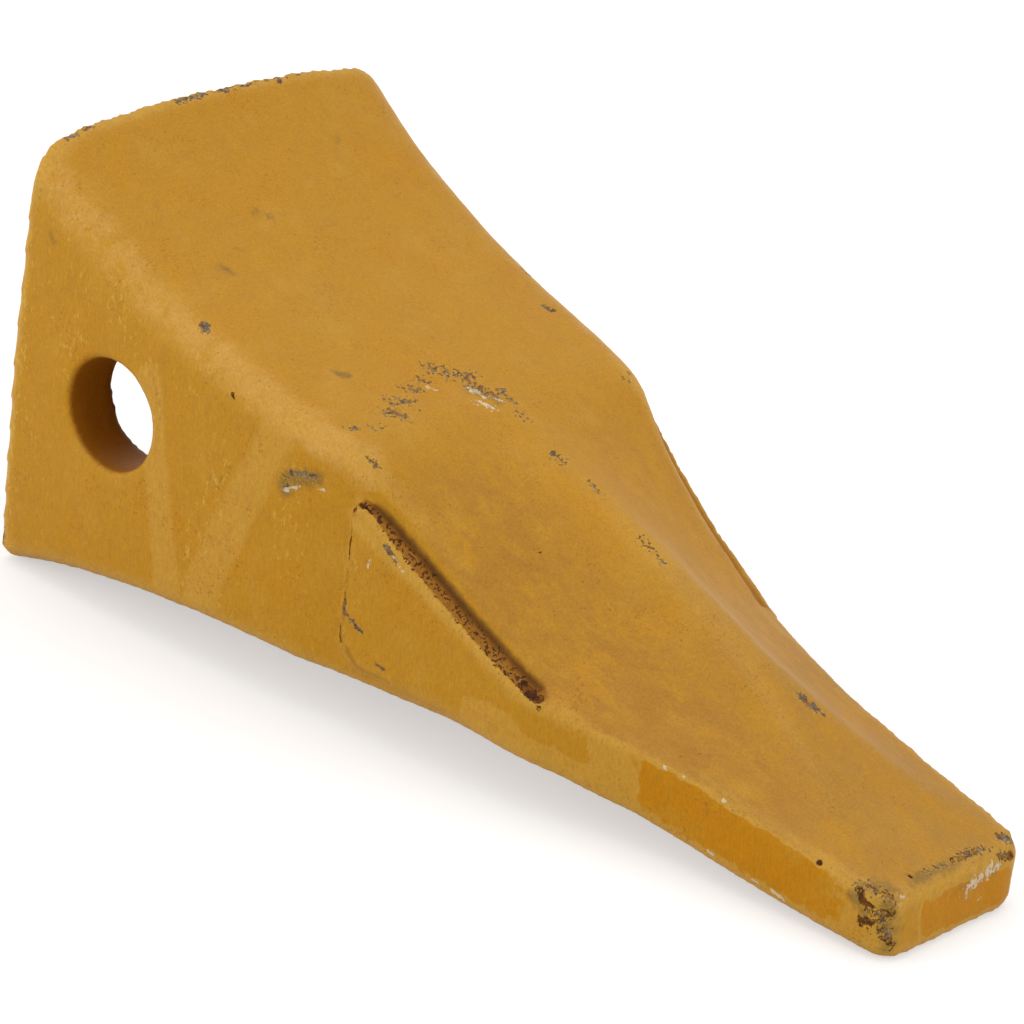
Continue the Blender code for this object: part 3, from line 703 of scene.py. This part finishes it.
def skin_fields(mesh, places, normals, marks):
    """All the fields that the paint and the shape read."""
    fields = {name: marked(places, marks[name]) for name in marks}
    fields["lap"] *= ramp(0.6, 0.8, np.abs(normals[:, 1]))
    edge = read(mesh.attributes["edge"].data, "value", 1)[:, 0]
    fields["edge"] = edge * ramp(1.5, 3.5, bore_rim_distance(places))
    fields.update(line_fields(places, normals))
    for name, field in (
        ("warm", warm_field), ("run", run_field), ("dusty", dust_field), ("veil", veil_field),
        ("fleck", fleck_field), ("inside", inside_field), ("bore", bore_field),
    ):
        fields[name] = field(places, normals)
    return fields


def shaped(points, normals, fields, sizes):
    """The points moved along their normals by the waves, dents, chips and pits."""
    waves = ripple(points, sizes.wave_length, seed=1) * sizes.wave_height
    waves += ripple(points, sizes.wave_length / 2.6, seed=2) * sizes.wave_height / 4
    dents = rough(points, sizes.dent_length, seed=3) * sizes.dent_height
    chipped = fields["bare"] + 0.2 * ripple(points, 1.3 * MM, seed=5)
    rusted = fields["rusty"] + 0.2 * ripple(points, 1.3 * MM, seed=7)
    chips = ramp(0.4, 0.7, chipped) * sizes.chip_depth + ramp(0.4, 0.8, rusted) * sizes.rust_depth
    pitted = fields["brink"] + 0.5 * rough(points, 1.5 * MM, seed=6)
    pits = ramp(0.35, 0.8, pitted) * sizes.rust_depth
    pits += fields["ledge"] * (0.3 + rough(points, 2.0 * MM, seed=9)) * sizes.rust_depth * 0.6
    worn = ramp(0.25, 0.6, fields["edge"]) * ramp(0.1, 0.6, ripple(points, 5.0 * MM, seed=8))
    nibbles = worn * sizes.chip_depth * 0.2
    calm = 1 - 0.8 * np.maximum(fields["inside"], np.maximum(fields["root"], fields["brink"]))
    return points + normals * ((waves + dents) * calm - chips - pits - nibbles * calm)[:, None]


def all_marks(tree):
    """The marks of both sides by the name of their field."""
    spots = {"bare": BARE_MARKS, "rusty": RUST_MARKS, "white": WHITE_MARKS, "stain": STAIN_MARKS}
    marks = {name: seated(both_sides(listed), tree) for name, listed in spots.items()}
    return marks | {"lap": both_sides(LAP_MARKS)}


def skin_arrays(mesh):
    """The points of a mesh and their normals."""
    points, normals = read(mesh.vertices, "co", 3), read(mesh.vertex_normals, "vector", 3)
    return points.astype(float), normals.astype(float)


def move_points(mesh, points):
    """Puts the points of a mesh in new places."""
    mesh.vertices.foreach_set("co", points.astype(np.float32).ravel())
    mesh.update()


def cast_skin(piece, sizes):
    """Moves the points of the fine mesh and gives it the fields that the paint reads."""
    mesh = piece.data
    tree = BVHTree.FromPolygons(*packed_faces(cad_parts["tooth"]))
    marks = all_marks(tree)
    points, normals = skin_arrays(mesh)
    edges = read(mesh.edges, "vertices", 2, np.int32)
    carry(mesh, {"edge": standing_out(in_mm(points), normals, edges, EDGE_ROUNDS)})

    fine = marks["bare"] + marks["rusty"] + marks["white"]
    tiny = [mark for mark in fine if mark[2] < TINY_MARK]
    divide_near(mesh, lambda places: near_line(places) | (marked(places, fine) > 0))
    divide_near(mesh, lambda places: marked(places, tiny) > 0)

    points, _ = skin_arrays(mesh)
    points = held(points, in_mm(points), tree)
    move_points(mesh, points)
    _, normals = skin_arrays(mesh)
    fields = skin_fields(mesh, in_mm(points), normals, marks)
    moved = shaped(points, normals, fields, sizes)
    move_points(mesh, np.clip(moved, np.array(CAD_BOX[0]), np.array(CAD_BOX[1])))
    carry(mesh, fields)


def carry(mesh, fields):
    """Puts fields on the mesh as attributes of its points."""
    for name, values in fields.items():
        layer = mesh.attributes.get(name) or mesh.attributes.new(name, "FLOAT", "POINT")
        layer.data.foreach_set("value", values.astype(np.float32))


def packed_faces(node):
    """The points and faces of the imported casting."""
    mesh = node.data
    return [vertex.co for vertex in mesh.vertices], [tuple(face.vertices) for face in mesh.polygons]


# Nodes


class Graph:
    """Adds nodes to one node tree and joins them."""

    def __init__(self, tree):
        self.tree = tree

    def give(self, node, inputs):
        """Joins a node's inputs to sockets or sets them to values."""
        for name, value in inputs.items():
            if isinstance(value, bpy.types.NodeSocket):
                self.tree.links.new(value, node.inputs[name])
            else:
                node.inputs[name].default_value = value

    def add(self, kind, inputs=None, **settings):
        """A new node with its settings made and its inputs given."""
        node = self.tree.nodes.new(kind)
        for name, value in settings.items():
            setattr(node, name, value)
        self.give(node, inputs or {})
        return node

    def group(self, group, inputs):
        """A node group put into the tree, as its outputs by name."""
        return self.add("ShaderNodeGroup", inputs, node_tree=group).outputs

    def math(self, operation, a, b, clamp=False):
        """One operation on two numbers, each a socket or a value."""
        return self.add("ShaderNodeMath", {0: a, 1: b}, operation=operation, use_clamp=clamp).outputs[0]

    def plus(self, a, b):
        return self.math("ADD", a, b)

    def times(self, a, b):
        return self.math("MULTIPLY", a, b)

    def most(self, a, b):
        return self.math("MAXIMUM", a, b)

    def swing(self, value, reach):
        """A value from 0 to 1 turned into a swing about 0 that is reach from end to end."""
        return self.times(self.math("SUBTRACT", value, 0.5), reach)

    def mix(self, under, over, share):
        """The colour under with the colour over laid on it by share."""
        # 6, 7 and 2 are where the node keeps its sockets for colours
        inputs = {0: share, 6: opaque(under), 7: opaque(over)}
        return self.add("ShaderNodeMix", inputs, data_type="RGBA").outputs[2]

    def step(self, value, low, high):
        """0 under low, 1 over high, and soft between them."""
        inputs = {"Value": value, "From Min": low, "From Max": high}
        return self.add("ShaderNodeMapRange", inputs, interpolation_type="SMOOTHSTEP").outputs["Result"]

    def noise(self, place, size, detail=2.0, roughness=0.5):
        """Noise from 0 to 1 whose spots are about size across."""
        inputs = {"Vector": place, "Scale": 1 / size, "Detail": detail, "Roughness": roughness}
        return self.add("ShaderNodeTexNoise", inputs).outputs["Fac"]

    def field(self, name):
        """A field that the mesh carries."""
        return self.add("ShaderNodeAttribute", attribute_name=name).outputs["Fac"]

    def seen(self):
        """1 for the rays of the camera, reflections and glass, 0 for those that light things."""
        rays = self.add("ShaderNodeLightPath").outputs
        return self.most(self.most(rays["Is Camera Ray"], rays["Is Glossy Ray"]), rays["Is Transmission Ray"])


def opaque(colour):
    """A colour with a full alpha; a socket stays as it is."""
    return colour if isinstance(colour, bpy.types.NodeSocket) else (*colour, 1.0)


class Coats:
    """The paint's colour, laid on coat by coat, and the noises that several coats share."""

    def __init__(self, graph, colours):
        self.graph = graph
        self.colours = colours
        self.place = graph.add("ShaderNodeTexCoord").outputs["Object"]
        self.skin = graph.group(skin_group(), {"Place": self.place})
        self.cloud = self.noise(5 * MM, 5.0, 0.72, (0.4, 1, 1))
        self.ragged = graph.swing(self.noise(1.6 * MM, 4.0, 0.6), 0.7)
        self.colour = colours.paint

    def noise(self, size, detail=2.0, roughness=0.5, stretch=None):
        """Noise over the tooth, in streaks where places are scaled unevenly by stretch."""
        place = self.place
        if stretch:
            scaled = self.graph.add("ShaderNodeVectorMath", {0: place, 1: stretch}, operation="MULTIPLY")
            place = scaled.outputs["Vector"]
        return self.graph.noise(place, size, detail, roughness)

    def lay(self, colour, mask, share):
        """Lays a colour on by a share of the mask."""
        self.colour = self.graph.mix(self.colour, colour, self.graph.times(mask, share))


def new_group(name, numbers, outputs):
    """A node group that takes a place and numbers and gives numbers, the graph in it and its ends."""
    group = bpy.data.node_groups.new(name, "ShaderNodeTree")
    group.interface.new_socket(name="Place", in_out="INPUT", socket_type="NodeSocketVector")
    for label, default in numbers.items():
        socket = group.interface.new_socket(name=label, in_out="INPUT", socket_type="NodeSocketFloat")
        socket.default_value = default
    for label in outputs:
        group.interface.new_socket(name=label, in_out="OUTPUT", socket_type="NodeSocketFloat")
    graph = Graph(group)
    return group, graph, graph.add("NodeGroupInput").outputs, graph.add("NodeGroupOutput")


def speckle_group():
    """Turns the strength of a mark into a crisp, broken patch, its torn rim and its tone."""
    numbers = {"Strength": 0.0, "Spot Scale": 1 / (0.75 * MM), "Spread": 0.5}
    group, graph, given, result = new_group("speckled_patch", numbers, ("Patch", "Rim", "Tone"))
    place, strength = given["Place"], given["Strength"]
    tear = graph.add("ShaderNodeTexNoise", {
        "Vector": place, "Scale": given["Spot Scale"], "Detail": 4.0, "Roughness": 0.65,
    }).outputs["Fac"]
    torn = graph.plus(strength, graph.times(graph.swing(tear, given["Spread"]), 2.0))
    patch = graph.step(torn, 0.5, 0.56)
    rim = graph.math("SUBTRACT", graph.step(torn, 0.36, 0.5), patch, clamp=True)
    near_mark = graph.step(strength, 0.02, 0.2)
    graph.give(result, {
        "Patch": graph.times(patch, near_mark), "Rim": graph.times(rim, near_mark),
        "Tone": graph.noise(place, 0.9 * MM, 4.0, 0.65),
    })
    return group


def skin_group():
    """Height of the painted cast skin in metres, and the fine and broad mottling of its colour."""
    group, graph, given, result = new_group("cast_skin", {}, ("Height", "Mottle", "Grain"))
    place = given["Place"]
    peel = graph.times(graph.noise(place, 1.3 * MM, 2.0, 0.55), 0.13 * MM)
    grain = graph.noise(place, 0.32 * MM, 3.0, 0.6)
    height = graph.plus(peel, graph.times(grain, 0.035 * MM))
    graph.give(result, {"Height": height, "Mottle": graph.noise(place, 9 * MM, 4.0, 0.6), "Grain": grain})
    return group


def paint_coats(coats):
    """Thick and thin paint, a painted highlight on paler rubbed paint along the ridges, a painted highlight
    on the edges, and the runs and laps on the sides.
    """
    graph, colours, mottle = coats.graph, coats.colours, coats.skin["Mottle"]
    coats.lay(colours.thick_paint_and_highlight, graph.step(mottle, 0.48, 0.78), 0.4)
    coats.lay(colours.warm_paint, graph.step(coats.noise(16 * MM, 3.0), 0.52, 0.7), 0.35)
    # painted highlight along the box's ridges, on paler rubbed paint
    rubbed = graph.plus(graph.field("ridge"), graph.swing(coats.noise(3.5 * MM, 5.0, 0.7), 1.5))
    coats.lay(colours.ridge, graph.step(rubbed, 0.3, 0.85), 0.85)
    # painted highlight: the convex edges are laid in the paler paint
    coats.lay(colours.thick_paint_and_highlight, graph.step(graph.field("edge"), 0.05, 0.4), 0.8)
    torn_run = graph.plus(graph.field("run"), graph.times(mottle, 0.3))
    coats.lay(colours.thick_paint_and_highlight, graph.step(torn_run, 0.5, 0.75), 0.6)
    torn_lap = graph.plus(graph.field("lap"), graph.swing(mottle, 0.8))
    coats.lay(colours.thick_paint_and_highlight, graph.step(torn_lap, 0.5, 0.56), 0.6)


def dust_coats(coats):
    """Greyish dust on what looks up and brown dust on the flank, whose mask is given back."""
    graph, colours = coats.graph, coats.colours
    coats.lay(colours.veil, graph.times(graph.field("veil"), graph.step(coats.cloud, 0.15, 0.7)), 0.6)
    dusty = graph.times(graph.field("dusty"), graph.step(coats.cloud, 0.3, 0.66))
    coats.lay(colours.dust, dusty, 0.7)
    streaks = graph.step(coats.noise(2.6 * MM, 5.0, 0.75, (0.35, 1, 1)), 0.5, 0.64)
    coats.lay(colours.dust, graph.times(graph.field("dusty"), streaks), 0.75)
    coats.lay(colours.dust, graph.step(coats.noise(2.4 * MM, 4.0, 0.7), 0.5, 0.72), 0.3)
    return dusty


def warm_coats(coats):
    """Deeper paint with a paler border on the flats of the blade, and the pads' paler rims."""
    graph, colours = coats.graph, coats.colours
    lapped = graph.plus(graph.field("warm"), graph.swing(coats.skin["Mottle"], 0.08))
    lapped = graph.plus(lapped, graph.times(coats.ragged, 0.3))
    coats.lay(colours.thick_paint_and_highlight, graph.step(lapped, 0.36, 0.48), 0.5)
    uneven = graph.times(graph.step(coats.noise(5 * MM, 4.0, 0.6), 0.45, 0.7), 0.6)
    warm = graph.mix(colours.warm_paint, colours.paint, uneven)
    coats.lay(warm, graph.step(lapped, 0.49, 0.53), 1.0)
    coats.lay(colours.thick_paint_and_highlight, graph.step(graph.field("pad_rim"), 0.3, 0.9), 0.7)


def spot_coats(coats):
    """Pale flecks, brown specks, olive stains and dark dots, whose mask is given back."""
    graph, colours = coats.graph, coats.colours
    tall = coats.noise(0.75 * MM, 3.0, 0.6, (1, 1, 0.5))
    flecks = graph.plus(tall, graph.swing(graph.field("fleck"), 0.24))
    coats.lay(colours.fleck, graph.step(flecks, 0.63, 0.69), 0.55)
    crowd = graph.swing(coats.noise(8 * MM, 3.0, 0.6), 0.5)
    specks = graph.plus(coats.noise(0.55 * MM, 3.0, 0.6), crowd)
    coats.lay(colours.speck, graph.step(specks, 0.64, 0.72), 0.5)
    dots = graph.step(coats.noise(0.5 * MM), 0.755, 0.775)
    coats.lay(colours.dark_rust, dots, 0.7)
    torn_stain = graph.plus(graph.field("stain"), graph.times(coats.ragged, 1.4))
    near_stain = graph.step(graph.field("stain"), 0.0, 0.15)
    coats.lay(colours.stain, graph.times(graph.step(torn_stain, 0.25, 0.75), near_stain), 0.55)
    return dots


def corner_coats(coats):
    """Painted shade in corners, a painted shadow along the ledges' roots and the pads' rear steps, rust on
    the ledges, and their dark pits, whose mask is given back.
    """
    graph, colours = coats.graph, coats.colours
    # painted shade in the concave corners
    coats.lay(colours.shade_and_grime, graph.step(graph.times(graph.field("edge"), -1.0), 0.12, 0.55), 0.5)
    coats.lay(colours.rust, graph.step(graph.field("ledge"), 0.2, 0.5), 0.75)
    # painted shadow at the foot of the wall above each ledge
    root = graph.plus(graph.field("root"), graph.times(coats.ragged, 0.6))
    coats.lay(colours.shade_and_grime, graph.step(root, 0.1, 0.85), 0.88)
    # painted shadow along the pad's rear step
    pad_shadow = graph.plus(graph.field("pad_seam"), graph.times(coats.ragged, 2.0))
    coats.lay(colours.shade_and_grime, graph.step(pad_shadow, 0.5, 0.95), 0.3)
    pitted = graph.most(graph.field("brink"), graph.times(graph.field("ledge"), 0.8))
    pitted = graph.plus(pitted, graph.swing(coats.noise(0.6 * MM, 2.0, 0.6), 2.4))
    pits = graph.step(pitted, 0.8, 0.96)
    coats.lay(colours.dark_rust, pits, 0.92)
    return pits


def patch_coats(coats):
    """Rust spots, chips and scuffs, then the bores and the socket; gives back where paint is broken."""
    graph, colours, speckle = coats.graph, coats.colours, speckle_group()
    bare, rust, white = [
        graph.group(speckle, {
            "Place": coats.place, "Strength": graph.field(name), "Spot Scale": 1 / size, "Spread": spread,
        })
        for name, size, spread in PATCHES
    ]
    rusty = graph.mix(colours.dark_rust, colours.rust, graph.step(rust["Tone"], 0.4, 0.7))
    coats.lay(rusty, rust["Patch"], 0.95)
    coats.lay(colours.thick_paint_and_highlight, bare["Rim"], 0.7)
    metal = graph.mix(colours.primer, colours.steel, graph.step(bare["Tone"], 0.4, 0.64))
    tinge = graph.times(graph.step(coats.noise(2.2 * MM, 3.0), 0.46, 0.58), 0.55)
    coats.lay(graph.mix(metal, colours.rust, tinge), bare["Patch"], 0.88)
    coats.lay(colours.scuff, white["Patch"], 0.8)
    coats.lay(colours.bore, graph.field("bore"), 0.9)
    inner = graph.mix(colours.shade_and_grime, colours.rust, graph.step(coats.cloud, 0.35, 0.65))
    coats.lay(inner, graph.field("inside"), 0.65)
    return graph.most(bare["Patch"], rust["Patch"])


def worn_paint(colours):
    """The ochre paint with its runs, dust, rust, chips and scuffs, and its painted highlights and shade."""
    material = bpy.data.materials.new("worn_ochre_paint")
    material.use_nodes = True
    graph = Graph(material.node_tree)
    coats = Coats(graph, colours)
    paint_coats(coats)
    dusty = dust_coats(coats)
    warm_coats(coats)
    dots = spot_coats(coats)
    pits = corner_coats(coats)
    broken = patch_coats(coats)

    grain = coats.skin["Grain"]
    upright = coats.noise(0.4 * MM, 3.0, 0.6, (1, 1, 0.3))
    fine = graph.plus(graph.times(grain, 0.36), graph.times(upright, 0.42))
    shade = graph.add("ShaderNodeHueSaturation", {"Value": graph.plus(fine, 0.64), "Color": coats.colour})
    dull = graph.most(broken, graph.times(dusty, 0.5))
    roughness = graph.plus(graph.times(grain, 0.1), colours.roughness - 0.05)
    sunk = graph.times(broken, -CHIP_SINK)
    pitted = graph.times(graph.plus(pits, graph.times(dots, 0.4)), -PIT_SINK)
    height = graph.plus(coats.skin["Height"], graph.plus(sunk, pitted))
    bump = graph.add("ShaderNodeBump", {"Height": height, "Distance": 1.0, "Strength": 1.0})
    graph.give(graph.tree.nodes["Principled BSDF"], {
        "Base Color": shade.outputs["Color"], "Normal": bump.outputs["Normal"],
        "Roughness": graph.plus(roughness, graph.times(dull, 0.25)), "Specular IOR Level": PAINT_SPECULAR,
    })
    return material


def floor_paint(tone):
    """A pale floor that the camera and reflections see as white, with the tooth's shadow on it."""
    material = bpy.data.materials.new("pale_floor")
    material.use_nodes = True
    graph = Graph(material.node_tree)
    shader = graph.tree.nodes["Principled BSDF"]
    graph.give(shader, {"Base Color": opaque(tone), "Roughness": 0.9, "Specular IOR Level": 0.0})
    glowing = graph.times(graph.seen(), FLOOR_GLOW)
    glow = graph.add("ShaderNodeEmission", {"Color": WHITE, "Strength": glowing})
    both = graph.add("ShaderNodeAddShader", {0: shader.outputs["BSDF"], 1: glow.outputs["Emission"]})
    graph.give(graph.tree.nodes["Material Output"], {"Surface": both.outputs["Shader"]})
    return material


# Stage


def lay_floor(setup):
    """A square floor under the tooth."""
    shape = bmesh.new()
    bmesh.ops.create_grid(shape, x_segments=1, y_segments=1, size=setup.floor_size / 2)
    mesh = bpy.data.meshes.new("floor")
    shape.to_mesh(mesh)
    shape.free()
    floor = bpy.data.objects.new("floor", mesh)
    bpy.context.scene.collection.objects.link(floor)
    mesh.materials.append(floor_paint(setup.floor_tone))
    floor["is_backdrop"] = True


def hang_lamps(setup, target):
    """Square soft lamps that shine at target."""
    for name, offset, size, power in LAMPS:
        light = bpy.data.lights.new(name, "AREA")
        light.size = size
        light.energy = getattr(setup, power)
        lamp = bpy.data.objects.new(name, light)
        lamp.location = target + Vector(offset)
        lamp.rotation_euler = (target - lamp.location).to_track_quat("-Z", "Y").to_euler()
        bpy.context.scene.collection.objects.link(lamp)


def light_sky(level):
    """Even light all round that the camera and reflections see as white."""
    world = bpy.data.worlds.new("studio")
    world.use_nodes = True
    bpy.context.scene.world = world
    graph = Graph(world.node_tree)
    strength = graph.plus(graph.times(graph.seen(), 1 - level), level)
    graph.give(graph.tree.nodes["Background"], {"Color": WHITE, "Strength": strength})


def stand_camera(setup):
    """The camera at the photograph's viewing angle."""
    data = bpy.data.cameras.new("camera")
    data.lens = setup.lens_mm
    data.sensor_width = SENSOR_MM
    data.clip_start = 0.01
    data.clip_end = 100
    camera = bpy.data.objects.new("camera", data)
    camera.location = setup.camera_place
    camera.rotation_euler = setup.camera_turn
    bpy.context.scene.collection.objects.link(camera)
    bpy.context.scene.camera = camera


# Operators and panel


class TOOTH_OT_painted_casting(bpy.types.Operator):
    """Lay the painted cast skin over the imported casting"""

    bl_idname = "tooth.painted_casting"
    bl_label = "Painted casting"

    def execute(self, context):
        piece = fine_skin(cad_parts["tooth"], context.scene.tooth_sizes)
        cast_skin(piece, context.scene.tooth_sizes)
        piece.data.materials.clear()
        piece.data.materials.append(worn_paint(context.scene.tooth_colours))
        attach(piece, "root")
        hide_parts("tooth")
        return {"FINISHED"}


class TOOTH_OT_stage(bpy.types.Operator):
    """Set the floor, the lamps and the camera"""

    bl_idname = "tooth.stage"
    bl_label = "Stage"

    def execute(self, context):
        setup = context.scene.tooth_stage
        middle = (CAD_BOX[0] + CAD_BOX[1]) / 2
        lay_floor(setup)
        light_sky(setup.sky_level)
        hang_lamps(setup, middle)
        stand_camera(setup)
        context.scene.view_settings.view_transform = "Standard"
        return {"FINISHED"}


class TOOTH_PT_panel(bpy.types.Panel):
    """The tooth's pieces and stage, with the values that shape them"""

    bl_label = "Bucket tooth"
    bl_idname = "TOOTH_PT_panel"
    bl_space_type = "VIEW_3D"
    bl_region_type = "UI"
    bl_category = "Bucket Tooth"

    def draw(self, context):
        for operator, values in (
            (TOOTH_OT_painted_casting, (context.scene.tooth_sizes, context.scene.tooth_colours)),
            (TOOTH_OT_stage, (context.scene.tooth_stage,)),
        ):
            self.layout.operator(operator.bl_idname)
            for group in values:
                for name in group.__annotations__:
                    self.layout.prop(group, name)


CLASSES = (
    CastingSizes, PaintColours, StageSetup, TOOTH_OT_painted_casting, TOOTH_OT_stage, TOOTH_PT_panel,
)


def register():
    for item in CLASSES:
        bpy.utils.register_class(item)
    bpy.types.Scene.tooth_sizes = PointerProperty(type=CastingSizes)
    bpy.types.Scene.tooth_colours = PointerProperty(type=PaintColours)
    bpy.types.Scene.tooth_stage = PointerProperty(type=StageSetup)


def unregister():
    for name in ("tooth_sizes", "tooth_colours", "tooth_stage"):
        delattr(bpy.types.Scene, name)
    for item in reversed(CLASSES):
        bpy.utils.unregister_class(item)


def main():
    """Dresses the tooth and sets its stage."""
    register()
    bpy.ops.tooth.painted_casting()
    bpy.ops.tooth.stage()
    boxes = {"cad": CAD_BOX, "visual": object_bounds()}
    {name: [list(corner) for corner in box] for name, box in boxes.items()}


if __name__ == "__main__":
    main()
